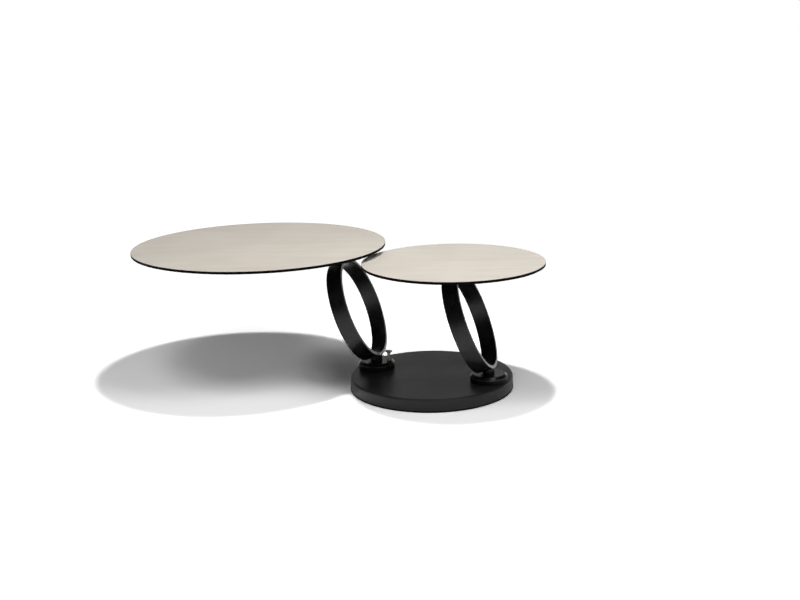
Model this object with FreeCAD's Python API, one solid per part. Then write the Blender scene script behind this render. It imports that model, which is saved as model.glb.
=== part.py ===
import FreeCAD, Part
import math
import os

# Swivel coffee table: a weighted round base, two leaning hoops that turn on it, and a round top on each.
# Millimetres. Origin at the centre of the base on the floor, +Z up. Both hoops lean towards -X.

Vec = FreeCAD.Vector
UP = Vec(0, 0, 1)
DOWN = Vec(0, 0, -1)

# Base
base_d = 505.0            # cover, outside
base_h = 40.0             # top face above the floor
base_edge_r = 6.0         # rounded top edge of the cover
cover_wall = 3.0
skirt_gap = 2.0           # cover's rim above the floor
pad_t = 3.0               # felt disc that meets the floor
pad_inset = 8.0           # felt's rim inside the cover's inner wall
base_plate_t = 4.0
base_plate_fit = 0.5      # base plate's rim to the cover's inner wall
ballast_inset = 26.5      # ballast's rim inside the base plate's rim
base_screws = 6
base_screw_inset = 22.0   # base plate screws inside the ballast's rim

# Swivels: a lower disc fixed to the base and an upper disc that turns on it
disc_inset = 6.0          # discs' rims inside the base's rim
rest_turn = 12.5          # degrees that both hoops stand off the line through the pivots
swivel_d = 113.0
lower_disc_t = 13.0
upper_disc_t = 9.5
upper_disc_land = 2.0     # upright rim under the upper disc's bevel
disc_edge_r = 1.0         # rounded rims of the discs
washer_t = 1.0            # slide washer between the discs
washer_inset = 0.6        # its rim inside the discs' rims
running_gap = 0.1         # faces that turn on each other
disc_screws = 3
disc_screw_r = 29.0       # disc screws from the pivot axis

# Spindle, its bush and its locknut
spindle_d = 25.0
spindle_fit = 0.05        # radial running clearance in the bush
bush_wall = 2.5
bush_flange_d = 40.0
bush_flange_t = 3.0
pocket_d = 48.0           # nut pocket under the ballast
pocket_h = 16.0
thread_d = 16.0
retainer_d = 40.0         # washer that holds the spindle down
retainer_t = 3.0
nut_across_flats = 24.0
nut_h = 10.0
nut_collar_d = 21.0       # round end of the nut
nut_collar_h = 3.0
thread_end = 1.0          # thread past the nut
seat_fit = 0.05           # radial gap where a fixed piece sits in a hole

# Hoops and their necks
lean = 20.8               # degrees from upright
big_hoop_d = 324.0
small_hoop_d = 314.0
band_w = 50.0
band_t = 10.0
band_edge_r = 0.8
neck_d = 36.0
lower_neck_h = 13.5       # on the pivot axis, disc to hoop
big_neck_h = 31.0         # at the hoop's top, hoop to flange
small_neck_h = 18.0

# Flanges, mounting plates and tops
flange_d = 90.0
flange_t = 5.0
flange_screws = 4
flange_screw_inset = 11.0
big_mount_d = 180.0
small_mount_d = 140.0
mount_t = 5.0
bond_t = 0.5              # adhesive between plate and glass
bond_inset = 4.0
big_top_d = 800.0
small_top_d = 550.0
big_top_shift = 258.0     # big top's centre past the hoop's top, along -X
small_top_shift = -6.0
glass_t = 5.0
ceramic_t = 3.0
arris = 0.6               # bevel on the tops' edges

# Stop pin of the big swivel, in its guide; its tip runs in an arc slot in the lower disc
pin_d = 10.0
pin_fit = 0.05            # radial, in the guide
pin_inset = 14.5          # pin's axis inside the disc's rim
pin_angle = -7.0          # degrees from +X at rest
pin_tip_depth = 7.0       # tip below the lower disc's top
slot_fit = 0.5            # pin to the slot's walls
slot_floor = 1.0          # tip to the slot's floor
swing_back = -85.0        # big swivel's limits from rest, degrees
swing_fore = 67.0
guide_wall = 1.5
guide_flange_d = 14.0
guide_flange_t = 2.0
collar_d = 13.0
collar_t = 3.0
pin_stand = 32.5          # knob's top above the collar
knob_d = 22.0
knob_rim_t = 2.5
knob_dome_h = 1.5
knob_foot_d = 12.0
knob_h = 8.5
knob_socket = 5.0         # pin's end inside the knob

# Countersunk screws, one size throughout
screw_d = 6.0
screw_head_d = 12.0
screw_sunk = 0.2          # head below the face
screw_hole_fit = 0.3      # radial, where a screw passes through
screw_grip = 14.0         # thread in the ballast
socket_across_flats = 4.0
socket_depth = 1.8

# Heights, from the floor up
plate_top = pad_t + base_plate_t
cover_under = base_h - cover_wall
lower_disc_top = base_h + lower_disc_t
upper_disc_under = lower_disc_top + washer_t + running_gap
upper_disc_top = upper_disc_under + upper_disc_t
hoop_foot = upper_disc_top + lower_neck_h
upper_disc_bevel = upper_disc_t - upper_disc_land
pocket_top = plate_top + pocket_h
retainer_top = pocket_top - running_gap

# Radii
pivot_r = base_d / 2 - disc_inset - swivel_d / 2
pin_r = swivel_d / 2 - pin_inset
flange_screw_r = flange_d / 2 - flange_screw_inset
plate_r = base_d / 2 - cover_wall - base_plate_fit
ballast_r = plate_r - ballast_inset
spindle_bore_r = spindle_d / 2 + spindle_fit
bush_r = spindle_bore_r + bush_wall
screw_head_h = (screw_head_d - screw_d) / 2
hoop_r = {"big": big_hoop_d / 2, "small": small_hoop_d / 2}
mount_r = {"big": big_mount_d / 2, "small": small_mount_d / 2}
top_r = {"big": big_top_d / 2, "small": small_top_d / 2}
top_shift = {"big": big_top_shift, "small": small_top_shift}
upper_neck_h = {"big": big_neck_h, "small": small_neck_h}

lean_rad = math.radians(lean)
rise_dir = Vec(-math.sin(lean_rad), 0, math.cos(lean_rad))
band_axis = Vec(math.cos(lean_rad), 0, math.sin(lean_rad))


def polar(radius, degrees, z=0.0):
    turn = math.radians(degrees)
    return Vec(radius * math.cos(turn), radius * math.sin(turn), z)


def at_height(point, z):
    return Vec(point.x, point.y, z)


def rod(radius, foot, height, direction=UP):
    return Part.makeCylinder(radius, height, foot, direction)


def tube(outer_r, inner_r, foot, height):
    return rod(outer_r, foot, height).cut(rod(inner_r, foot, height))


def rim_edges(solid, z, radius):
    found = []
    for edge in solid.Edges:
        circle = isinstance(edge.Curve, Part.Circle)
        if circle and abs(edge.Curve.Radius - radius) < 1e-6 and abs(edge.BoundBox.Center.z - z) < 1e-6:
            found.append(edge)
    return found


def hex_prism(across_flats, foot, height):
    corner_r = across_flats / 2 / math.cos(math.radians(30))
    corners = [foot + polar(corner_r, 60 * i) for i in range(7)]
    return Part.Face(Part.makePolygon(corners)).extrude(UP * height)


def screw_shape(head, length, direction, grow=0.0):
    """Countersunk form whose flat face is centred at head; it points along direction."""
    cone = Part.makeCone(screw_head_d / 2 + grow, screw_d / 2 + grow, screw_head_h, head, direction)
    return cone.fuse(rod(screw_d / 2 + grow, head, length, direction)).removeSplitter()


def screw(face_point, reach, direction):
    """Screw sunk below face_point whose end lies at reach from that face."""
    head = face_point + direction * screw_sunk
    key_foot = head if direction.z > 0 else head - UP * socket_depth
    return screw_shape(head, reach - screw_sunk, direction).cut(
        hex_prism(socket_across_flats, key_foot, socket_depth))


def screw_hole(face_point, reach, direction):
    """Sunk hole: room for the head and the shank, and for the head to lie below the face."""
    head = face_point + direction * screw_sunk
    mouth = rod(screw_head_d / 2 + screw_hole_fit, face_point, screw_sunk, direction)
    return screw_shape(head, reach - screw_sunk, direction, screw_hole_fit).fuse(mouth)


def thread_hole(face_point, depth, direction):
    return rod(screw_d / 2 + seat_fit, face_point, depth, direction)


def cut_all(solid, tools):
    for tool in tools:
        solid = solid.cut(tool)
    return solid


def save(node, solids):
    shape = solids[0] if len(solids) == 1 else Part.makeCompound(solids)
    shape.exportStep("parts/" + node + ".step")
    print(node, len(shape.Solids), "solids", round(shape.Volume / 1000, 1), "cm3")


# Places of each arm: pivot on the floor, hoop's centre, hoop's top, flange's underside, top's centre

pivots = {"big": polar(pivot_r, 180 - rest_turn), "small": polar(pivot_r, -rest_turn)}
hoop_centres = {arm: at_height(pivots[arm], hoop_foot) + rise_dir * hoop_r[arm] for arm in pivots}
crowns = {arm: hoop_centres[arm] + rise_dir * hoop_r[arm] for arm in pivots}
flange_seats = {arm: crowns[arm] + UP * upper_neck_h[arm] for arm in pivots}
top_centres = {arm: flange_seats[arm] - Vec(top_shift[arm], 0, 0) for arm in pivots}

# Fixings of the base

base_screw_spots = [polar(ballast_r - base_screw_inset, 30 - rest_turn + 360 / base_screws * i)
                    for i in range(base_screws)]
disc_screw_turn = {"big": 180 - rest_turn, "small": -rest_turn}
disc_screw_reach = lower_disc_t + cover_wall + screw_grip


def disc_screw_spots(arm, z):
    return [at_height(pivots[arm], z) + polar(disc_screw_r, disc_screw_turn[arm] + 360 / disc_screws * i)
            for i in range(disc_screws)]


# Base

def base_pad():
    return rod(plate_r - pad_inset, Vec(0, 0, 0), pad_t)


def base_plate():
    plate = rod(plate_r, Vec(0, 0, pad_t), base_plate_t)
    return cut_all(plate, [screw_hole(at_height(spot, pad_t), base_plate_t, UP) for spot in base_screw_spots])


def ballast():
    body = rod(ballast_r, Vec(0, 0, plate_top), cover_under - plate_top)
    tools = [thread_hole(at_height(spot, plate_top), screw_grip, UP) for spot in base_screw_spots]
    for arm, pivot in pivots.items():
        tools.append(rod(pocket_d / 2, at_height(pivot, plate_top), pocket_h))
        tools.append(rod(bush_r + seat_fit, at_height(pivot, plate_top), cover_under - plate_top))
        tools += [thread_hole(spot, screw_grip, DOWN) for spot in disc_screw_spots(arm, cover_under)]
    return cut_all(body, tools)


def base_cover():
    outer = rod(base_d / 2, Vec(0, 0, skirt_gap), base_h - skirt_gap)
    outer = outer.makeFillet(base_edge_r, rim_edges(outer, base_h, base_d / 2))
    inner = rod(base_d / 2 - cover_wall, Vec(0, 0, skirt_gap), cover_under - skirt_gap)
    inner_edge_r = max(base_edge_r - cover_wall, disc_edge_r)
    inner = inner.makeFillet(inner_edge_r, rim_edges(inner, cover_under, base_d / 2 - cover_wall))
    tools = [inner]
    for arm, pivot in pivots.items():
        tools.append(rod(bush_r + screw_hole_fit, at_height(pivot, cover_under), cover_wall))
        tools += [rod(screw_d / 2 + screw_hole_fit, spot, cover_wall) for spot in disc_screw_spots(arm, cover_under)]
    return cut_all(outer, tools)


# Stop pin's place and the arc slot for it

pin_point = pivots["big"] + polar(pin_r, pin_angle)


def arc_slot(z, height):
    """Slot about the big pivot, long enough for the pin at both limits."""
    half_w = pin_d / 2 + slot_fit
    pivot = at_height(pivots["big"], z)
    ring = tube(pin_r + half_w, pin_r - half_w, pivot, height)
    wedge_r = pin_r + pin_d
    rim = Part.makeCircle(wedge_r, pivot, UP, pin_angle + swing_back, pin_angle + swing_fore)
    out = Part.LineSegment(pivot, rim.Vertexes[0].Point).toShape()
    back = Part.LineSegment(rim.Vertexes[-1].Point, pivot).toShape()
    wedge = Part.Face(Part.Wire([out, rim, back])).extrude(UP * height)
    slot = ring.common(wedge)
    for limit in (swing_back, swing_fore):
        slot = slot.fuse(rod(half_w, pivot + polar(pin_r, pin_angle + limit), height))
    return slot.removeSplitter()


# Swivels

def lower_disc(arm):
    pivot = at_height(pivots[arm], base_h)
    disc = rod(swivel_d / 2, pivot, lower_disc_t)
    disc = disc.makeFillet(disc_edge_r, rim_edges(disc, lower_disc_top, swivel_d / 2))
    flange_seat = at_height(pivot, lower_disc_top - bush_flange_t)
    tools = [rod(bush_r + seat_fit, pivot, lower_disc_t),
             rod(bush_flange_d / 2 + seat_fit, flange_seat, bush_flange_t)]
    tools += [screw_hole(spot, lower_disc_t, DOWN) for spot in disc_screw_spots(arm, lower_disc_top)]
    if arm == "big":
        slot_depth = pin_tip_depth + slot_floor
        tools.append(arc_slot(lower_disc_top - slot_depth, slot_depth))
    return cut_all(disc, tools)


def lower_disc_screws(arm):
    return [screw(spot, disc_screw_reach, DOWN) for spot in disc_screw_spots(arm, lower_disc_top)]


def bush(arm):
    foot = at_height(pivots[arm], pocket_top)
    flange = at_height(pivots[arm], lower_disc_top - bush_flange_t)
    sleeve = rod(bush_r, foot, lower_disc_top - pocket_top).fuse(rod(bush_flange_d / 2, flange, bush_flange_t))
    return sleeve.cut(rod(spindle_bore_r, foot, lower_disc_top - pocket_top)).removeSplitter()


def slide_washer(arm):
    foot = at_height(pivots[arm], lower_disc_top)
    washer = tube(swivel_d / 2 - washer_inset, bush_flange_d / 2, foot, washer_t)
    if arm == "big":
        washer = washer.cut(arc_slot(lower_disc_top, washer_t))
    return washer


def upper_disc(arm):
    foot = at_height(pivots[arm], upper_disc_under)
    disc = rod(swivel_d / 2, foot, upper_disc_t)
    disc = disc.makeChamfer(upper_disc_bevel, rim_edges(disc, upper_disc_top, swivel_d / 2))
    under_edge_r = min(disc_edge_r, upper_disc_land / 2)
    disc = disc.makeFillet(under_edge_r, rim_edges(disc, upper_disc_under, swivel_d / 2))
    tools = [rod(spindle_d / 2 + seat_fit, foot, upper_disc_t)]
    if arm == "big":
        guide_r = pin_d / 2 + pin_fit + guide_wall + seat_fit
        tools.append(rod(guide_r, at_height(pin_point, upper_disc_under), upper_disc_t))
    return cut_all(disc, tools)


def spindle(arm):
    end = retainer_top - retainer_t - nut_h - thread_end
    shank = rod(spindle_d / 2, at_height(pivots[arm], retainer_top), upper_disc_top - retainer_top)
    return shank.fuse(rod(thread_d / 2, at_height(pivots[arm], end), retainer_top - end))


def retainer(arm):
    foot = at_height(pivots[arm], retainer_top - retainer_t)
    return tube(retainer_d / 2, thread_d / 2 + seat_fit, foot, retainer_t)


def locknut(arm):
    foot = at_height(pivots[arm], retainer_top - retainer_t - nut_h)
    flats = hex_prism(nut_across_flats, foot + UP * nut_collar_h, nut_h - nut_collar_h)
    body = flats.fuse(rod(nut_collar_d / 2, foot, nut_collar_h))
    return body.cut(rod(thread_d / 2 + seat_fit, foot, nut_h)).removeSplitter()


# Hoops and necks

def hoop_slice(arm, radius, width):
    return rod(radius, hoop_centres[arm] - band_axis * (width / 2), width, band_axis)


def hoop(arm):
    band = hoop_slice(arm, hoop_r[arm], band_w).cut(hoop_slice(arm, hoop_r[arm] - band_t, band_w))
    rims = [edge for edge in band.Edges if isinstance(edge.Curve, Part.Circle)]
    return band.makeFillet(band_edge_r, rims)


def lower_neck(arm):
    reach = lower_neck_h + neck_d
    post = rod(neck_d / 2, at_height(pivots[arm], upper_disc_top), reach)
    return post.cut(hoop_slice(arm, hoop_r[arm], band_w + neck_d))


def upper_neck(arm):
    post = rod(neck_d / 2, crowns[arm] - UP * neck_d, neck_d + upper_neck_h[arm])
    return post.cut(hoop_slice(arm, hoop_r[arm], band_w + neck_d))


# Flanges, plates and tops

def flange_screw_spots(arm):
    return [flange_seats[arm] + polar(flange_screw_r, 45 + 360 / flange_screws * i) for i in range(flange_screws)]


def flange(arm):
    disc = rod(flange_d / 2, flange_seats[arm], flange_t)
    disc = disc.makeFillet(disc_edge_r, rim_edges(disc, flange_seats[arm].z, flange_d / 2))
    return cut_all(disc, [screw_hole(spot, flange_t, UP) for spot in flange_screw_spots(arm)])


def flange_fixings(arm):
    return [screw(spot, flange_t + mount_t, UP) for spot in flange_screw_spots(arm)]


def mount_plate(arm):
    foot = flange_seats[arm] + UP * flange_t
    disc = rod(mount_r[arm], foot, mount_t)
    disc = disc.makeFillet(disc_edge_r, rim_edges(disc, foot.z, mount_r[arm]))
    return cut_all(disc, [thread_hole(spot + UP * flange_t, mount_t, UP) for spot in flange_screw_spots(arm)])


def bond(arm):
    return rod(mount_r[arm] - bond_inset, flange_seats[arm] + UP * (flange_t + mount_t), bond_t)


def top_panel(arm, z, thickness, bevelled_z):
    disc = rod(top_r[arm], at_height(top_centres[arm], z), thickness)
    return disc.makeChamfer(arris, rim_edges(disc, bevelled_z, top_r[arm]))


# Stop pin

collar_foot = upper_disc_top + guide_flange_t + running_gap
knob_top = collar_foot + pin_stand
knob_foot = knob_top - knob_h


def pin_guide():
    bore = pin_d / 2 + pin_fit
    foot = at_height(pin_point, upper_disc_under)
    sleeve = rod(bore + guide_wall, foot, upper_disc_t)
    sleeve = sleeve.fuse(rod(guide_flange_d / 2, at_height(pin_point, upper_disc_top), guide_flange_t))
    return sleeve.cut(rod(bore, foot, upper_disc_t + guide_flange_t)).removeSplitter()


def stop_pin():
    tip = lower_disc_top - pin_tip_depth
    stem = rod(pin_d / 2, at_height(pin_point, tip), knob_foot + knob_socket - tip)
    stem = stem.makeChamfer(disc_edge_r, rim_edges(stem, tip, pin_d / 2))
    return stem.fuse(rod(collar_d / 2, at_height(pin_point, collar_foot), collar_t)).removeSplitter()


def pin_knob():
    """Mushroom knob: a narrow foot that flares to a rim under a low dome."""
    foot = at_height(pin_point, knob_foot)
    flare_h = knob_h - knob_dome_h - knob_rim_t
    rim_foot = foot + UP * flare_h
    dome_foot = rim_foot + UP * knob_rim_t
    dome_r = (knob_d ** 2 / 4 + knob_dome_h ** 2) / (2 * knob_dome_h)
    ball = Part.makeSphere(dome_r, dome_foot + UP * (knob_dome_h - dome_r))
    flare = Part.makeCone(knob_foot_d / 2, knob_d / 2, flare_h, foot, UP)
    rim = rod(knob_d / 2, rim_foot, knob_rim_t + knob_dome_h).common(ball.fuse(rod(knob_d, rim_foot, knob_rim_t)))
    knob = flare.fuse(rim).removeSplitter()
    return knob.cut(rod(pin_d / 2 + seat_fit, foot, knob_socket))


# Files

save("base_pad", [base_pad()])
save("base_plate", [base_plate()])
save("base_plate_screws", [screw(at_height(spot, pad_t), base_plate_t + screw_grip, UP) for spot in base_screw_spots])
save("ballast_disc", [ballast()])
save("base_cover", [base_cover()])

for arm in pivots:
    glass_foot = flange_seats[arm].z + flange_t + mount_t + bond_t
    ceramic_foot = glass_foot + glass_t
    save("lower_disc_" + arm, [lower_disc(arm)])
    save("lower_disc_screws_" + arm, lower_disc_screws(arm))
    save("bush_" + arm, [bush(arm)])
    save("slide_washer_" + arm, [slide_washer(arm)])
    save("upper_disc_" + arm, [upper_disc(arm)])
    save("spindle_" + arm, [spindle(arm)])
    save("spindle_washer_" + arm, [retainer(arm)])
    save("locknut_" + arm, [locknut(arm)])
    save("lower_neck_" + arm, [lower_neck(arm)])
    save("hoop_" + arm, [hoop(arm)])
    save("upper_neck_" + arm, [upper_neck(arm)])
    save("neck_flange_" + arm, [flange(arm)])
    save("flange_screws_" + arm, flange_fixings(arm))
    save("mount_plate_" + arm, [mount_plate(arm)])
    save("bond_pad_" + arm, [bond(arm)])
    save("glass_panel_" + arm, [top_panel(arm, glass_foot, glass_t, glass_foot)])
    save("ceramic_top_" + arm, [top_panel(arm, ceramic_foot, ceramic_t, ceramic_foot + ceramic_t)])

save("pin_guide", [pin_guide()])
save("stop_pin", [stop_pin()])
save("stop_pin_knob", [pin_knob()])

print("surface heights", [round(flange_seats[arm].z + flange_t + mount_t + bond_t + glass_t + ceramic_t, 2)
                          for arm in pivots])
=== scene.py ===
import math

import bmesh
import bpy
from mathutils import Matrix, Vector


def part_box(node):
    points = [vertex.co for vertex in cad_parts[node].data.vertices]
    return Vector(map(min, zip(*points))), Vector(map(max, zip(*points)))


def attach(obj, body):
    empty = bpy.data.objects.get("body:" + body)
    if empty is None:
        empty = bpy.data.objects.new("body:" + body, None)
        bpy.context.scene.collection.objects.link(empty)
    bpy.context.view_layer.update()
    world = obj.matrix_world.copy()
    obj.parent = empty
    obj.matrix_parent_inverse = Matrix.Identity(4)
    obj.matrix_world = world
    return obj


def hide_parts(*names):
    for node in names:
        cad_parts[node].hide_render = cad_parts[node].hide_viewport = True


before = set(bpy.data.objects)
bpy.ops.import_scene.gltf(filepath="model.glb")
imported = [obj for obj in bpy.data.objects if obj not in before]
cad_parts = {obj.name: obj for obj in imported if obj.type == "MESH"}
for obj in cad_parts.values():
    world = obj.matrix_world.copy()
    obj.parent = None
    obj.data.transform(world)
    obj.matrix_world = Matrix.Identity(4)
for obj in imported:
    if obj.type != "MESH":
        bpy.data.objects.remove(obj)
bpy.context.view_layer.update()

# Swivel coffee table. Metres, origin at the middle of the base on the floor, +Z up.
# Both hoops lean to -X.

arms = ("big", "small")
sameHeight = 1e-6      # metres, for picking what lies in one level plane
millimetre = 0.001
print("frame loaded:", len(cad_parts), "nodes")


# Camera

cameraSetup = {
    "place": (0.6576, -3.2396, 1.0997),
    "turn": 13.08,     # degrees about Z from looking along +Y
    "down": 13.97,
    "roll": 1.42,
    "lens": 50.0,
    "sensor": 36.0,
}


def addCamera():
    data = bpy.data.cameras.new("camera")
    data.lens = cameraSetup["lens"]
    data.sensor_width = cameraSetup["sensor"]
    camera = bpy.data.objects.new("camera", data)
    bpy.context.scene.collection.objects.link(camera)
    camera.matrix_world = (
        Matrix.Translation(cameraSetup["place"])
        @ Matrix.Rotation(math.radians(cameraSetup["turn"]), 4, "Z")
        @ Matrix.Rotation(math.radians(90 - cameraSetup["down"]), 4, "X")
        @ Matrix.Rotation(math.radians(-cameraSetup["roll"]), 4, "Z")
    )
    bpy.context.scene.camera = camera


addCamera()


# Node helpers. In the finishes' dictionaries a noise is (scale, detail), a relief is
# (depth in metres, strength) and a gloss is (lowest, highest) roughness.

mixSockets = {"first": 6, "second": 7, "result": 2}      # the colour sockets of a Mix node


def newFinish(name, colour, roughness, metallic=0.0, specular=0.5):
    finish = bpy.data.materials.new(name)
    finish.use_nodes = True
    finish.diffuse_color = (*colour, 1)
    tree = finish.node_tree
    shader = tree.nodes["Principled BSDF"]
    shader.inputs["Base Color"].default_value = (*colour, 1)
    shader.inputs["Roughness"].default_value = roughness
    shader.inputs["Metallic"].default_value = metallic
    shader.inputs["Specular IOR Level"].default_value = specular
    return finish, tree, shader


def objectPoint(tree, centre=(0, 0, 0), turn=0.0, stretch=(1, 1, 1)):
    # Object coordinates about a centre, turned in degrees about Z, then stretched
    where = tree.nodes.new("ShaderNodeTexCoord")
    move = tree.nodes.new("ShaderNodeVectorMath")
    move.operation = "SUBTRACT"
    move.inputs[1].default_value = centre
    spin = tree.nodes.new("ShaderNodeMapping")
    spin.inputs["Rotation"].default_value = (0, 0, math.radians(turn))
    scale = tree.nodes.new("ShaderNodeVectorMath")
    scale.operation = "MULTIPLY"
    scale.inputs[1].default_value = stretch
    tree.links.new(where.outputs["Object"], move.inputs[0])
    tree.links.new(move.outputs[0], spin.inputs["Vector"])
    tree.links.new(spin.outputs[0], scale.inputs[0])
    return scale.outputs[0]


def noise(tree, point, scale, detail, rough=0.55):
    cloud = tree.nodes.new("ShaderNodeTexNoise")
    cloud.inputs["Scale"].default_value = scale
    cloud.inputs["Detail"].default_value = detail
    cloud.inputs["Roughness"].default_value = rough
    tree.links.new(point, cloud.inputs["Vector"])
    return cloud.outputs["Fac"]


def rings(tree, point, perMetre, wobble):
    wave = tree.nodes.new("ShaderNodeTexWave")
    wave.wave_type = "RINGS"
    wave.rings_direction = "Z"
    wave.inputs["Scale"].default_value = perMetre
    wave.inputs["Distortion"].default_value = wobble
    tree.links.new(point, wave.inputs["Vector"])
    return wave.outputs["Fac"]


def span(tree, value, low, high, fromLow=0.3, fromHigh=0.7):
    # A noise lies mostly between 0.3 and 0.7
    reach = tree.nodes.new("ShaderNodeMapRange")
    reach.inputs["From Min"].default_value = fromLow
    reach.inputs["From Max"].default_value = fromHigh
    reach.inputs["To Min"].default_value = low
    reach.inputs["To Max"].default_value = high
    tree.links.new(value, reach.inputs["Value"])
    return reach.outputs["Result"]


def blendColours(tree, value, first, second):
    mix = tree.nodes.new("ShaderNodeMix")
    mix.data_type = "RGBA"
    mix.inputs[mixSockets["first"]].default_value = (*first, 1)
    mix.inputs[mixSockets["second"]].default_value = (*second, 1)
    tree.links.new(value, mix.inputs[0])
    return mix.outputs[mixSockets["result"]]


def timesColour(tree, colour, value):
    scale = tree.nodes.new("ShaderNodeVectorMath")
    scale.operation = "SCALE"
    tree.links.new(colour, scale.inputs[0])
    tree.links.new(value, scale.inputs["Scale"])
    return scale.outputs[0]


def combine(tree, operation, first, second):
    both = tree.nodes.new("ShaderNodeMath")
    both.operation = operation
    tree.links.new(first, both.inputs[0])
    tree.links.new(second, both.inputs[1])
    return both.outputs[0]


def awayFromAxis(tree, centre=(0, 0, 0)):
    # Distance from an upright axis
    distance = tree.nodes.new("ShaderNodeVectorMath")
    distance.operation = "LENGTH"
    tree.links.new(objectPoint(tree, centre, stretch=(1, 1, 0)), distance.inputs[0])
    return distance.outputs["Value"]


def paint(tree, shader, colour, roughness):
    tree.links.new(colour, shader.inputs["Base Color"])
    tree.links.new(roughness, shader.inputs["Roughness"])


def relief(tree, shader, value, depth, strength, under=None):
    bump = tree.nodes.new("ShaderNodeBump")
    bump.inputs["Distance"].default_value = depth
    bump.inputs["Strength"].default_value = strength
    tree.links.new(value, bump.inputs["Height"])
    if under is not None:
        tree.links.new(under, bump.inputs["Normal"])
    tree.links.new(bump.outputs["Normal"], shader.inputs["Normal"])
    return bump.outputs["Normal"]


def mottledFinish(name, look, plain="light"):
    # Patches of two colours, with a fine grain in gloss and relief
    finish, tree, shader = newFinish(name, look[plain], look["roughness"],
                                     look.get("metallic", 0.0), look.get("specular", 0.5))
    patch = noise(tree, objectPoint(tree), *look["patch"])
    grain = noise(tree, objectPoint(tree), *look["grain"])
    paint(tree, shader, blendColours(tree, patch, look["dark"], look["light"]),
          span(tree, grain, *look["gloss"]))
    relief(tree, shader, grain, *look["grainRelief"])
    return finish


# Finishes

ceramicLook = {
    "warm": (0.508, 0.463, 0.399),     # body of the glaze
    "pale": (0.613, 0.568, 0.506),
    "roughness": 0.52,
    "gloss": (0.46, 0.58),
    "streakTurn": -13.0,               # degrees, the streaks' run
    "broadStretch": (1.4, 13, 1),
    "broad": (1.6, 4.0),
    "fineStretch": (3.4, 44, 1),
    "fine": (1.8, 4.0),
    "clouds": (4.5, 5.0),
    "specks": (900, 2.0),
    "streakDepth": (0.925, 1.042),     # darkest and lightest share of the colour
    "speckDepth": (0.985, 1.012),
    # painted light and shade: the big top's glaze darker and the small top's paler, lit and
    # shaded copies of one glaze
    "paintedLightShare": {"big": 0.98, "small": 1.06},
    "paintedFalloff": {"big": 0.016, "small": 0.002},   # painted shade: paler towards +X and darker towards -X by this share, for the light falling off to the left
    "speckRelief": (0.00008, 0.35),
    "streakRelief": (0.0004, 0.12),
}


def ceramicFinish(arm):
    look = ceramicLook
    finish, tree, shader = newFinish("ceramicBeige_" + arm, look["pale"], look["roughness"])
    low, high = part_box("ceramic_top_" + arm)
    centre = (low + high) / 2
    point = objectPoint(tree, centre)
    broadPoint = objectPoint(tree, centre, look["streakTurn"], look["broadStretch"])
    finePoint = objectPoint(tree, centre, look["streakTurn"], look["fineStretch"])
    broad = noise(tree, broadPoint, *look["broad"])
    fine = noise(tree, finePoint, *look["fine"])
    cloudy = noise(tree, point, *look["clouds"])
    speck = noise(tree, point, *look["specks"])
    blend = combine(tree, "ADD", span(tree, broad, 0.0, 0.5), span(tree, cloudy, 0.0, 0.5))
    colour = blendColours(tree, blend, look["warm"], look["pale"])
    colour = timesColour(tree, colour, span(tree, fine, *look["streakDepth"]))
    # Painted shade: the glaze darkens towards -X, where the light falls off
    across = tree.nodes.new("ShaderNodeSeparateXYZ")
    tree.links.new(point, across.inputs[0])
    paintedFalloff = look["paintedFalloff"][arm]
    paintedFalloffScale = span(tree, across.outputs["X"], 1 - paintedFalloff, 1 + paintedFalloff,
                 low.x - centre.x, high.x - centre.x)
    colour = timesColour(tree, colour, paintedFalloffScale)
    # Painted light and shade: each top's glaze made paler or darker by its share
    specked = [depth * look["paintedLightShare"][arm] for depth in look["speckDepth"]]
    colour = timesColour(tree, colour, span(tree, speck, *specked))
    paint(tree, shader, colour, span(tree, fine, *look["gloss"]))
    under = relief(tree, shader, speck, *look["speckRelief"])
    relief(tree, shader, fine, *look["streakRelief"], under)
    return finish


panelEdgeLook = {
    "black": (0.0012, 0.0012, 0.0012),
    "worn": (0.0026, 0.0025, 0.0024),
    "roughness": 0.60,
    "gloss": (0.52, 0.68),
    "specular": 0.03,
    "groundStretch": (6, 6, 2600),     # marks of the grinding run round the rim
    "ground": (1.0, 2.0),
    "patch": (60, 3.0),
    "groundRelief": (0.00005, 0.4),
}


def panelEdgeFinish():
    look = panelEdgeLook
    finish, tree, shader = newFinish("panelEdgeBlack", look["black"], look["roughness"],
                                     specular=look["specular"])
    ground = noise(tree, objectPoint(tree, stretch=look["groundStretch"]), *look["ground"])
    patch = noise(tree, objectPoint(tree), *look["patch"])
    paint(tree, shader, blendColours(tree, patch, look["black"], look["worn"]),
          span(tree, ground, *look["gloss"]))
    relief(tree, shader, ground, *look["groundRelief"])
    return finish


glassLook = {
    "black": (0.006, 0.006, 0.0065),
    "dusty": (0.02, 0.02, 0.02),
    "roughness": 0.12,
    "gloss": (0.08, 0.24),
    "smear": (9, 4.0),
    "dust": (420, 2.0),
    "dustFrom": (0.62, 0.8),           # only the noise's peaks are dust
    "smearRelief": (0.0006, 0.05),
}


def glassFinish():
    look = glassLook
    finish, tree, shader = newFinish("glassBlack", look["black"], look["roughness"])
    smear = noise(tree, objectPoint(tree), *look["smear"])
    dust = noise(tree, objectPoint(tree), *look["dust"])
    dusty = span(tree, dust, 0, 1, *look["dustFrom"])
    paint(tree, shader, blendColours(tree, dusty, look["black"], look["dusty"]),
          span(tree, smear, *look["gloss"]))
    relief(tree, shader, smear, *look["smearRelief"])
    return finish


hoopLook = {
    "black": (0.0035, 0.0035, 0.0038),
    "worn": (0.0060, 0.0060, 0.0062),
    "roughness": 0.29,
    "gloss": (0.25, 0.33),
    "grainGloss": (-0.03, 0.03),       # added to the gloss
    "specular": {"hoop": 0.25, "neck": 0.16},
    "peel": (520, 2.0),                # the soft dimples of powder coat
    "grain": (2600, 1.0),
    "patch": (22, 4.0),
    "peelRelief": (0.00012, 0.30),
    "grainRelief": (0.00004, 0.35),
}


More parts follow.
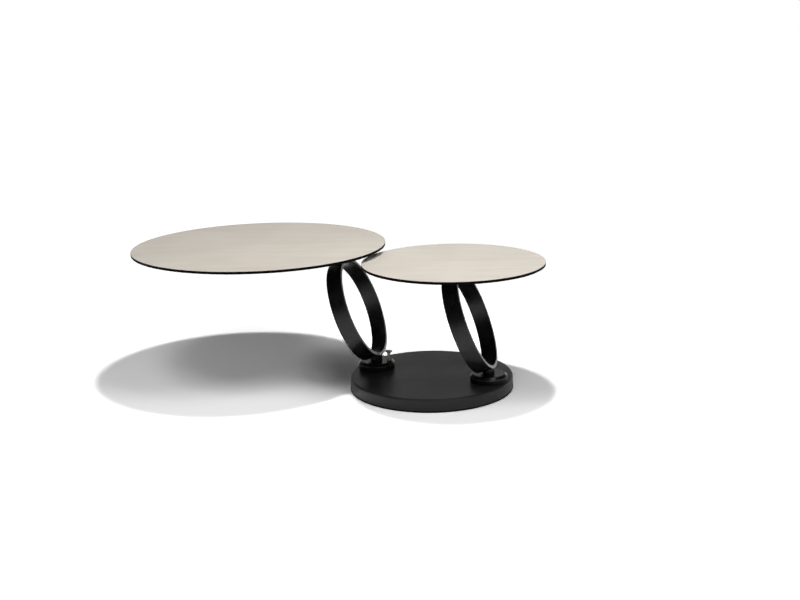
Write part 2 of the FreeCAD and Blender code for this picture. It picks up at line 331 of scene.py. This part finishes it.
def hoopFinish(part):
    look = hoopLook
    finish, tree, shader = newFinish(part + "Black", look["black"], look["roughness"],
                                     specular=look["specular"][part])
    peel = noise(tree, objectPoint(tree), *look["peel"])
    grain = noise(tree, objectPoint(tree), *look["grain"])
    patch = noise(tree, objectPoint(tree), *look["patch"])
    gloss = combine(tree, "ADD", span(tree, patch, *look["gloss"]),
                    span(tree, grain, *look["grainGloss"]))
    paint(tree, shader, blendColours(tree, patch, look["black"], look["worn"]), gloss)
    under = relief(tree, shader, peel, *look["peelRelief"])
    relief(tree, shader, grain, *look["grainRelief"], under)
    return finish


baseLook = {
    "dark": (0.0199, 0.0199, 0.0200),
    "light": (0.0251, 0.0251, 0.0248),
    "roughness": 0.38,
    "gloss": (0.34, 0.42),
    "grainGloss": (-0.04, 0.04),       # added to the gloss
    "specular": 0.17,
    "grain": (1500, 2.0),
    "patch": (7, 5.0),
    "grainRelief": (0.00010, 0.5),
}


def baseFinish():
    look = baseLook
    finish, tree, shader = newFinish("baseBlack", look["dark"], look["roughness"],
                                     specular=look["specular"])
    grain = noise(tree, objectPoint(tree), *look["grain"])
    patch = noise(tree, objectPoint(tree), *look["patch"])
    gloss = combine(tree, "ADD", span(tree, patch, *look["gloss"]),
                    span(tree, grain, *look["grainGloss"]))
    paint(tree, shader, blendColours(tree, patch, look["dark"], look["light"]), gloss)
    relief(tree, shader, grain, *look["grainRelief"])
    return finish


discLook = {
    "black": (0.0045, 0.0045, 0.0045),
    "worn": (0.0085, 0.0085, 0.0082),
    "roughness": 0.28,
    "gloss": (0.24, 0.32),
    "grainGloss": (-0.03, 0.03),       # added to the gloss
    "specular": {"upper": 0.265, "lower": 0.05},
    "marksPerMetre": 330.0,
    "wobble": 0.4,
    "grain": (1800, 2.0),
    "patch": (40, 3.0),
    "marksRelief": (0.00002, 0.35),
    "grainRelief": (0.00004, 0.3),
}


def discFinish(arm, level="upper"):
    # Turned face: fine rings about the swivel's axis, under satin black
    look = discLook
    finish, tree, shader = newFinish(level + "DiscBlack_" + arm, look["black"],
                                     look["roughness"], specular=look["specular"][level])
    low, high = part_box("upper_disc_" + arm)
    point = objectPoint(tree, (low + high) / 2)
    marks = rings(tree, point, look["marksPerMetre"], look["wobble"])
    grain = noise(tree, objectPoint(tree), *look["grain"])
    patch = noise(tree, objectPoint(tree), *look["patch"])
    gloss = combine(tree, "ADD", span(tree, marks, *look["gloss"], 0, 1),
                    span(tree, grain, *look["grainGloss"]))
    paint(tree, shader, blendColours(tree, patch, look["black"], look["worn"]), gloss)
    under = relief(tree, shader, marks, *look["marksRelief"])
    relief(tree, shader, grain, *look["grainRelief"], under)
    return finish


pinLook = {
    "dark": (0.42, 0.375, 0.32),
    "bright": (0.62, 0.56, 0.485),
    "roughness": 0.38,
    "gloss": (0.32, 0.44),
    "metallic": 0.72,
    # painted light on the knob's head and painted shade on the stem, lit and shaded copies of one
    # nickel
    "paintedLightShare": {"knob": 1.1, "stem": 0.55},
    "rim": 0.45,                       # painted shade: share of the brightness left at the knob's rim
    "rimFrom": (0.0086, 0.0110),       # distance from the pin's axis
    "latheStretch": (4, 4, 3200),
    "lathe": (1.0, 2.0),
    "patch": (240, 3.0),
    "latheRelief": (0.00003, 0.5),
}


def pinFinish(part):
    look = pinLook
    finish, tree, shader = newFinish(part + "Nickel", look["bright"], look["roughness"],
                                     look["metallic"])
    low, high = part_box("stop_pin")
    centre = (low + high) / 2
    lathePoint = objectPoint(tree, centre, stretch=look["latheStretch"])
    lathe = noise(tree, lathePoint, *look["lathe"])
    patch = noise(tree, objectPoint(tree), *look["patch"])
    colour = blendColours(tree, patch, look["dark"], look["bright"])
    # Painted light and shade: the part's share, darkened towards the knob's rim as painted shade
    paintedLightShare = look["paintedLightShare"][part]
    paintedRimShade = span(tree, awayFromAxis(tree, centre), paintedLightShare, paintedLightShare * look["rim"],
                   *look["rimFrom"])
    paint(tree, shader, timesColour(tree, colour, paintedRimShade),
          span(tree, lathe, *look["gloss"]))
    relief(tree, shader, lathe, *look["latheRelief"])
    return finish


feltLook = {
    "dark": (0.012, 0.012, 0.013),
    "light": (0.045, 0.045, 0.047),
    "roughness": 0.95,
    "gloss": (0.88, 1.0),
    "sheen": 0.4,
    "fibreStretch": (1, 3, 1),
    "fibres": (1400, 4.0, 0.7),        # the third number is the noise's own roughness
    "crossTurn": 70,
    "crossStretch": (1, 4, 1),
    "cross": (1100, 4.0, 0.7),
    "weaveRelief": (0.0004, 0.8),
}


def feltFinish():
    look = feltLook
    finish, tree, shader = newFinish("feltBlack", look["light"], look["roughness"])
    shader.inputs["Sheen Weight"].default_value = look["sheen"]
    fibres = noise(tree, objectPoint(tree, stretch=look["fibreStretch"]), *look["fibres"])
    crossPoint = objectPoint(tree, turn=look["crossTurn"], stretch=look["crossStretch"])
    cross = noise(tree, crossPoint, *look["cross"])
    weave = combine(tree, "ADD", span(tree, fibres, 0, 0.5), span(tree, cross, 0, 0.5))
    paint(tree, shader, blendColours(tree, weave, look["dark"], look["light"]),
          span(tree, weave, *look["gloss"], 0, 1))
    relief(tree, shader, weave, *look["weaveRelief"])
    return finish


# What the bare and plated metals have in common, then each of them
bareMetal = {"metallic": 1.0, "patch": (130, 4.0), "grainRelief": (0.00005, 0.5)}
metalLooks = {
    "zincSteel": {
        "dark": (0.50, 0.52, 0.54), "light": (0.66, 0.67, 0.66),
        "roughness": 0.34, "gloss": (0.26, 0.42), "grain": (1500, 2.0),
    },
    "spindleSteel": {
        "dark": (0.46, 0.46, 0.46), "light": (0.58, 0.57, 0.56),
        "roughness": 0.24, "gloss": (0.16, 0.32), "grain": (2200, 2.0),
    },
    "plateSteel": {
        "dark": (0.20, 0.20, 0.21), "light": (0.30, 0.30, 0.30),
        "roughness": 0.46, "gloss": (0.38, 0.54), "grain": (900, 2.0),
    },
    "bronze": {
        "dark": (0.42, 0.26, 0.12), "light": (0.56, 0.36, 0.17),
        "roughness": 0.36, "gloss": (0.28, 0.44), "grain": (1800, 2.0),
    },
}
ironLook = {
    "dark": (0.030, 0.029, 0.028), "light": (0.075, 0.072, 0.070),
    "roughness": 0.75, "gloss": (0.62, 0.85),
    "patch": (18, 4.0), "grain": (380, 4.0), "grainRelief": (0.0006, 0.7),
}
plasticLook = {
    "dark": (0.040, 0.040, 0.038), "light": (0.060, 0.060, 0.057),
    "roughness": 0.40, "gloss": (0.34, 0.48),
    "patch": (90, 3.0), "grain": (1600, 2.0), "grainRelief": (0.00004, 0.4),
}
siliconeLook = {
    "dark": (0.010, 0.010, 0.010), "light": (0.022, 0.022, 0.022),
    "roughness": 0.38, "gloss": (0.30, 0.46),
    "patch": (160, 3.0), "grain": (160, 3.0), "grainRelief": (0.0005, 0.4),
}
# painted shade: this near-black, barely shiny finish makes the shadow line under the base
shadowLineLook = {
    "dark": (0.0030, 0.0030, 0.0030), "light": (0.0065, 0.0065, 0.0065),
    "roughness": 0.85, "gloss": (0.78, 0.92), "specular": 0.05,
    "patch": (40, 3.0), "grain": (900, 2.0), "grainRelief": (0.00008, 0.4),
}

ceramicBeige = {arm: ceramicFinish(arm) for arm in arms}
discBlack = {arm: discFinish(arm) for arm in arms}
lowerDiscBlack = {arm: discFinish(arm, "lower") for arm in arms}
panelEdgeBlack = panelEdgeFinish()
glassBlack = glassFinish()
hoopBlack = hoopFinish("hoop")
neckBlack = hoopFinish("neck")
baseBlack = baseFinish()
pinNickel = {part: pinFinish(part) for part in pinLook["paintedLightShare"]}
metals = {name: mottledFinish(name, {**bareMetal, **look}) for name, look in metalLooks.items()}
castIron = mottledFinish("castIron", ironLook)
feltBlack = feltFinish()
slidePlastic = mottledFinish("slidePlastic", plasticLook)
siliconeBlack = mottledFinish("siliconeBlack", siliconeLook, "dark")
shadowLineBlack = mottledFinish("shadowLineBlack", shadowLineLook, "dark")
print("finishes made:", len(bpy.data.materials))


# Finishes of the CAD nodes. Those of an arm differ by arm where a pattern has its own centre.

singleFinishes = {
    "base_pad": feltBlack,
    "base_plate": metals["plateSteel"],
    "base_plate_screws": metals["zincSteel"],
    "ballast_disc": castIron,
    "base_cover": baseBlack,
    "pin_guide": discBlack["big"],
    "stop_pin": pinNickel["stem"],
    "stop_pin_knob": pinNickel["knob"],
}
armFinishes = {
    "lower_disc_": lowerDiscBlack,
    "lower_disc_screws_": metals["zincSteel"],
    "bush_": metals["bronze"],
    "slide_washer_": slidePlastic,
    "upper_disc_": discBlack,
    "spindle_": metals["spindleSteel"],
    "spindle_washer_": metals["zincSteel"],
    "locknut_": metals["zincSteel"],
    "lower_neck_": neckBlack,
    "hoop_": hoopBlack,
    "upper_neck_": neckBlack,
    "neck_flange_": neckBlack,
    "flange_screws_": metals["zincSteel"],
    "mount_plate_": discBlack,
    "bond_pad_": siliconeBlack,
    "glass_panel_": glassBlack,
    "ceramic_top_": ceramicBeige,
}


def dress(node, finish):
    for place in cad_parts[node].material_slots:
        place.material = finish


for node, finish in singleFinishes.items():
    dress(node, finish)
for start, finish in armFinishes.items():
    for arm in arms:
        dress(start + arm, finish[arm] if isinstance(finish, dict) else finish)
print("CAD nodes dressed")


# Modelling helpers

def addStart(maker, **sizes):
    # A primitive in place with nothing else selected, its place kept in its mesh
    bpy.ops.object.select_all(action="DESELECT")
    maker(**sizes)
    bpy.ops.object.transform_apply(location=True, rotation=True, scale=True)
    return bpy.context.object


def pick(piece, kind, wanted):
    # In edit mode, selects the faces, edges or vertices that wanted() accepts
    bpy.ops.mesh.select_mode(type=kind)
    bpy.ops.mesh.select_all(action="DESELECT")
    shape = bmesh.from_edit_mesh(piece.data)
    parts = {"VERT": shape.verts, "EDGE": shape.edges, "FACE": shape.faces}[kind]
    for part in parts:
        if wanted(part):
            part.select_set(True)
    bmesh.update_edit_mesh(piece.data)


def editAllFaces():
    bpy.ops.object.mode_set(mode="EDIT")
    bpy.ops.mesh.select_mode(type="FACE")
    bpy.ops.mesh.select_all(action="SELECT")


def extrudeUp(height):
    bpy.ops.mesh.extrude_region_move(TRANSFORM_OT_translate={"value": (0, 0, height)})


def turnOutwards():
    bpy.ops.mesh.select_all(action="SELECT")
    bpy.ops.mesh.normals_make_consistent(inside=False)


def applyAll(piece):
    bpy.context.view_layer.objects.active = piece
    for modifier in list(piece.modifiers):
        bpy.ops.object.modifier_apply(modifier=modifier.name)


def smoothPiece(piece, degrees):
    # Smooth shading that keeps the flat faces flat
    bpy.ops.object.select_all(action="DESELECT")
    piece.select_set(True)
    bpy.context.view_layer.objects.active = piece
    bpy.ops.object.shade_smooth_by_angle(angle=math.radians(degrees))
    piece.modifiers.new("evenNormals", "WEIGHTED_NORMAL").keep_sharp = True
    applyAll(piece)


def finishPiece(piece, name, body, slot, *finishes):
    piece.name = name
    piece.data.name = name
    piece.data.materials.clear()
    for finish in finishes:
        piece.data.materials.append(finish)
    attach(piece, body)


def useSecondFinish(piece, wanted):
    # On the faces whose normal's height wanted() accepts
    for polygon in piece.data.polygons:
        polygon.material_index = 1 if wanted(polygon.normal.z) else 0


# Tops: a ceramic face on a black glass panel, each with a ground rim and rounded edges

panelShape = {
    "rimSides": 288,
    "outerEdge": 0.0005,       # width of the rounded edge that shows
    "jointEdge": 0.0002,       # arris where face and glass meet
    "edgeSteps": 3,
    "edgeRound": 0.5,
    "smooth": 40,              # degrees
    "faceFromNormal": 0.99,    # only faces that look straight up are glazed
    "rimBelowNormal": 0.9,     # the glass is ground where its faces look up or down less
}


def makePanel(node, upper):
    low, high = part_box(node)
    panel = addStart(
        bpy.ops.mesh.primitive_cylinder_add,
        vertices=panelShape["rimSides"],
        radius=(high.x - low.x) / 2,
        depth=high.z - low.z,
        location=(low + high) / 2,
    )
    outerZ, jointZ = (high.z, low.z) if upper else (low.z, high.z)
    bpy.ops.object.mode_set(mode="EDIT")
    for z, width in ((outerZ, panelShape["outerEdge"]), (jointZ, panelShape["jointEdge"])):
        pick(panel, "EDGE", lambda edge: all(abs(v.co.z - z) < sameHeight for v in edge.verts))
        bpy.ops.mesh.bevel(
            offset=width,
            segments=panelShape["edgeSteps"],
            profile=panelShape["edgeRound"],
            affect="EDGES",
        )
    bpy.ops.object.mode_set(mode="OBJECT")
    smoothPiece(panel, panelShape["smooth"])
    return panel


for arm in arms:
    body = arm + "_arm"
    face = makePanel("ceramic_top_" + arm, True)
    finishPiece(face, "ceramic_face_" + arm, body, "ceramic_beige",
                panelEdgeBlack, ceramicBeige[arm])
    useSecondFinish(face, lambda height: height > panelShape["faceFromNormal"])
    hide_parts("ceramic_top_" + arm)
    glass = makePanel("glass_panel_" + arm, False)
    finishPiece(glass, "glass_back_" + arm, body, "glass_black", glassBlack, panelEdgeBlack)
    useSecondFinish(glass, lambda height: abs(height) < panelShape["rimBelowNormal"])
    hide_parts("glass_panel_" + arm)
print("tops made")


# Painted weld beads where the necks meet the discs, the hoops and the flanges

weldBead = {
    "radius": 0.0013,
    "steps": 120,
    "around": 10,
    "saddleRound": 2,          # bevel steps of the bead on the hoop
    "ripple": 0.00035,
    "rippleSize": 0.0022,
    "lead": 0.0015,            # start of the saddle's circle, clear of the hoop
    "smooth": 60,              # degrees
}

rippleTexture = bpy.data.textures.new("weldRipple", "CLOUDS")
rippleTexture.noise_scale = weldBead["rippleSize"]


def rippleOver(piece):
    ripple = piece.modifiers.new("ripple", "DISPLACE")
    ripple.texture = rippleTexture
    ripple.texture_coords = "LOCAL"
    ripple.strength = weldBead["ripple"]
    applyAll(piece)


def ringBead(look, place, radius):
    bead = addStart(
        bpy.ops.mesh.primitive_torus_add,
        major_radius=radius,
        minor_radius=look["radius"],
        major_segments=look["steps"],
        minor_segments=look["around"],
        location=place,
    )
    rippleOver(bead)
    return bead


def saddleBead(place, radius, hoop, towards):
    # A circle drops or rises along the neck onto the hoop, and becomes a round bead
    bead = addStart(
        bpy.ops.mesh.primitive_circle_add,
        vertices=weldBead["steps"],
        radius=radius,
        location=place,
    )
    wrap = bead.modifiers.new("ontoHoop", "SHRINKWRAP")
    wrap.target = hoop
    wrap.wrap_method = "PROJECT"
    wrap.use_project_z = True
    wrap.use_positive_direction = towards > 0
    wrap.use_negative_direction = towards < 0
    applyAll(bead)
    bpy.ops.object.convert(target="CURVE")
    bead = bpy.context.object
    bead.data.bevel_depth = weldBead["radius"]
    bead.data.bevel_resolution = weldBead["saddleRound"]
    bpy.ops.object.convert(target="MESH")
    bead = bpy.context.object
    rippleOver(bead)
    return bead


for arm in arms:
    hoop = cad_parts["hoop_" + arm]
    for neck, towards in (("lower_neck_", 1), ("upper_neck_", -1)):
        low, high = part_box(neck + arm)
        axis = (low + high) / 2
        radius = (high.y - low.y) / 2
        plateZ = low.z if towards > 0 else high.z
        startZ = plateZ + towards * weldBead["lead"]
        beads = {
            "plate": ringBead(weldBead, (axis.x, axis.y, plateZ), radius),
            "hoop": saddleBead((axis.x, axis.y, startZ), radius, hoop, towards),
        }
        for place, bead in beads.items():
            smoothPiece(bead, weldBead["smooth"])
            name = neck + place + "_weld_" + arm
            finishPiece(bead, name, arm + "_arm", "hoop_black", neckBlack)
print("weld beads made")


# Adhesive squeezed out round each mounting plate, flat against the glass

adhesive = {
    "radius": 0.0016,
    "outside": 0.0004,         # middle of the bead beyond the plate's rim
    "hang": 0.6,               # middle of the bead under the glass, as a share of its radius
    "steps": 160,
    "around": 12,
    "smooth": 60,              # degrees
}

for arm in arms:
    low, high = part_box("mount_plate_" + arm)
    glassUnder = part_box("glass_panel_" + arm)[0].z
    axis = (low + high) / 2
    beadZ = glassUnder - adhesive["radius"] * adhesive["hang"]
    radius = (high.x - low.x) / 2 + adhesive["outside"]
    bead = ringBead(adhesive, (axis.x, axis.y, beadZ), radius)
    bpy.ops.object.mode_set(mode="EDIT")
    pick(bead, "VERT", lambda vert: vert.co.z > glassUnder)
    bpy.ops.transform.resize(value=(1, 1, 0), center_override=(axis.x, axis.y, glassUnder))
    bpy.ops.object.mode_set(mode="OBJECT")
    smoothPiece(bead, adhesive["smooth"])
    finishPiece(bead, "adhesive_bead_" + arm, arm + "_arm", "bond", siliconeBlack)
print("adhesive beads made")


# Near-black strip pressed over the cover's lower rim, all round: a painted shadow line where the
# base meets the floor

shadowLineStrip = {
    "sides": 288,
    "wall": 0.0032,            # cover's wall that it grips
    "thickness": 0.0007,
    "height": 0.0044,
    "clear": 0.0004,           # above the floor
    "roundEdge": 0.0002,
    "roundSteps": 2,
    "smooth": 40,              # degrees
}

low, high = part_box("base_cover")
strip = addStart(
    bpy.ops.mesh.primitive_circle_add,
    vertices=shadowLineStrip["sides"],
    radius=(high.x - low.x) / 2 + shadowLineStrip["thickness"],
    fill_type="NGON",
    location=(0, 0, shadowLineStrip["clear"]),
)
editAllFaces()
bpy.ops.mesh.inset(thickness=shadowLineStrip["wall"] + 2 * shadowLineStrip["thickness"])
bpy.ops.mesh.delete(type="FACE")
bpy.ops.mesh.select_all(action="SELECT")
extrudeUp(shadowLineStrip["height"])
bpy.ops.mesh.inset(thickness=shadowLineStrip["thickness"])
extrudeUp(low.z - shadowLineStrip["clear"] - shadowLineStrip["height"])      # groove for the cover's rim
turnOutwards()
bpy.ops.object.mode_set(mode="OBJECT")
rounding = strip.modifiers.new("rounding", "BEVEL")
rounding.width = shadowLineStrip["roundEdge"]
rounding.segments = shadowLineStrip["roundSteps"]
applyAll(strip)
smoothPiece(strip, shadowLineStrip["smooth"])
finishPiece(strip, "cover_shadow_line_strip", "base", "bond", shadowLineBlack)
print("rim strip made")


# Mushroom knob of the stop pin, raised ring by ring from its foot

knobShape = {
    "sides": 72,
    "footRadius": 0.006,
    # rise above the foot and radius of each ring, in millimetres
    "rings": [
        (1.3, 6.25), (2.4, 7.1), (3.3, 8.5), (4.0, 10.0), (4.4, 10.8), (4.8, 11.0),
        (6.5, 11.0), (6.95, 10.8), (7.3, 10.2), (7.8, 8.3), (8.2, 5.6), (8.42, 2.8), (8.5, 0.9),
    ],
    "socketRadius": 0.00505,
    "socketDepth": 0.005,
    "smooth": 35,              # degrees
}

low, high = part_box("stop_pin_knob")
foot = Vector(((low.x + high.x) / 2, (low.y + high.y) / 2, low.z))
knob = addStart(
    bpy.ops.mesh.primitive_circle_add,
    vertices=knobShape["sides"],
    radius=knobShape["footRadius"],
    fill_type="NGON",
    location=foot,
)
editAllFaces()
rise, radius = 0.0, knobShape["footRadius"]
for ringRise, ringRadius in knobShape["rings"]:
    step = ringRise * millimetre - rise
    extrudeUp(step)
    widen = ringRadius * millimetre / radius
    bpy.ops.transform.resize(value=(widen, widen, 1), center_override=foot)
    rise, radius = rise + step, ringRadius * millimetre
turnOutwards()
pick(knob, "FACE", lambda face: abs(face.calc_center_median().z - foot.z) < sameHeight)
bpy.ops.mesh.inset(thickness=knobShape["footRadius"] - knobShape["socketRadius"])
extrudeUp(knobShape["socketDepth"])
bpy.ops.object.mode_set(mode="OBJECT")
smoothPiece(knob, knobShape["smooth"])
finishPiece(knob, "pin_knob_turned", "stop_pin", "pin_nickel", pinNickel["knob"])
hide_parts("stop_pin_knob")
print("knob made")


# Studio: pale floor, a pale wall behind under a dim ceiling, a small lamp overhead,
# two large ones high in front and two lower at the sides

studio = {
    "floorSize": 70.0,
    "floorDrop": 0.0002,
    "floorColour": (0.80, 0.80, 0.80),
    "floorRoughness": 0.9,
    "seenBrighter": 1.62,      # floor as it shows, so that it is white outside the shadows
    "glowFrom": 1.4,           # metres from the table's middle, where the far floor pales
    "glowFull": 4.0,
    "ceiling": 0.03,
    "skirtTop": 0.03,          # height of the view direction, end of the white skirting all round
    "skirtFade": 0.20,
    "wall": 0.90,              # the wall behind, between these two view directions along +Y
    "wallFrom": 0.78,
    "wallFull": 0.97,
    "wallTop": 0.25,
    "wallFade": 0.36,
}
tableMiddle = (-0.2, 0, 0.2)
lamps = {
    "overhead": {"place": (0.105, -0.107, 3.12), "aim": (0, 0, 0), "size": 0.24, "watts": 56.5},
    "left": {"place": (-0.76, -1.65, 2.89), "aim": tableMiddle, "size": 0.95, "watts": 19.0},
    "right": {"place": (1.30, -1.02, 2.83), "aim": tableMiddle, "size": 1.1, "watts": 26.6},
    "lowLeft": {"place": (-2.75, -0.90, 1.92), "aim": tableMiddle, "size": 0.3, "watts": 10.8},
    "lowRight": {"place": (2.28, -1.89, 0.92), "aim": tableMiddle, "size": 1.1, "watts": 9.8},
}


def seenDirectly(tree):
    # 1 for rays that show the background: seen, mirrored or passed through
    path = tree.nodes.new("ShaderNodeLightPath")
    first = combine(tree, "ADD", path.outputs["Is Camera Ray"], path.outputs["Is Glossy Ray"])
    return combine(tree, "ADD", first, path.outputs["Is Transmission Ray"])


def addFloor():
    bpy.ops.mesh.primitive_plane_add(
        size=studio["floorSize"], location=(0, 0, -studio["floorDrop"]))
    floor = bpy.context.object
    floor.name = "floor"
    finish, tree, shader = newFinish("floorPale", studio["floorColour"],
                                     studio["floorRoughness"], specular=0.0)
    bright = tree.nodes.new("ShaderNodeBsdfDiffuse")
    bright.inputs["Color"].default_value = (*[studio["seenBrighter"]] * 3, 1)
    glow = tree.nodes.new("ShaderNodeEmission")
    glowSize = span(tree, awayFromAxis(tree), 0.0, 1.0, studio["glowFrom"], studio["glowFull"])
    tree.links.new(glowSize, glow.inputs["Strength"])
    both = tree.nodes.new("ShaderNodeAddShader")
    tree.links.new(bright.outputs[0], both.inputs[0])
    tree.links.new(glow.outputs[0], both.inputs[1])
    mix = tree.nodes.new("ShaderNodeMixShader")
    tree.links.new(seenDirectly(tree), mix.inputs[0])
    tree.links.new(shader.outputs[0], mix.inputs[1])
    tree.links.new(both.outputs[0], mix.inputs[2])
    tree.links.new(mix.outputs[0], tree.nodes["Material Output"].inputs["Surface"])
    floor.data.materials.append(finish)


def addSurround():
    # White at the horizon, a pale wall behind and dim above, the same for every ray
    world = bpy.data.worlds.new("studio")
    world.use_nodes = True
    tree = world.node_tree
    where = tree.nodes.new("ShaderNodeTexCoord")
    parts = tree.nodes.new("ShaderNodeSeparateXYZ")
    tree.links.new(where.outputs["Generated"], parts.inputs[0])
    height, ahead = parts.outputs["Z"], parts.outputs["Y"]
    skirt = span(tree, height, 1.0, studio["ceiling"], studio["skirtTop"], studio["skirtFade"])
    behind = span(tree, ahead, 0.0, studio["wall"], studio["wallFrom"], studio["wallFull"])
    below = span(tree, height, 1.0, 0.0, studio["wallTop"], studio["wallFade"])
    wall = combine(tree, "MULTIPLY", behind, below)
    sky = tree.nodes["Background"]
    sky.inputs["Color"].default_value = (1, 1, 1, 1)
    tree.links.new(combine(tree, "MAXIMUM", skirt, wall), sky.inputs["Strength"])
    bpy.context.scene.world = world


def addLamp(name, lamp):
    data = bpy.data.lights.new(name, "AREA")
    data.shape = "RECTANGLE"
    data.size = lamp["size"]
    data.size_y = lamp["size"]
    data.energy = lamp["watts"]
    light = bpy.data.objects.new(name, data)
    bpy.context.scene.collection.objects.link(light)
    light.location = lamp["place"]
    light.rotation_mode = "QUATERNION"
    beam = Vector(lamp["aim"]) - Vector(lamp["place"])
    light.rotation_quaternion = beam.to_track_quat("-Z", "Y")


bpy.ops.object.select_all(action="DESELECT")
addFloor()
addSurround()
for name, lamp in lamps.items():
    addLamp(name + "Lamp", lamp)
bpy.context.scene.view_settings.view_transform = "Standard"
print("studio set")
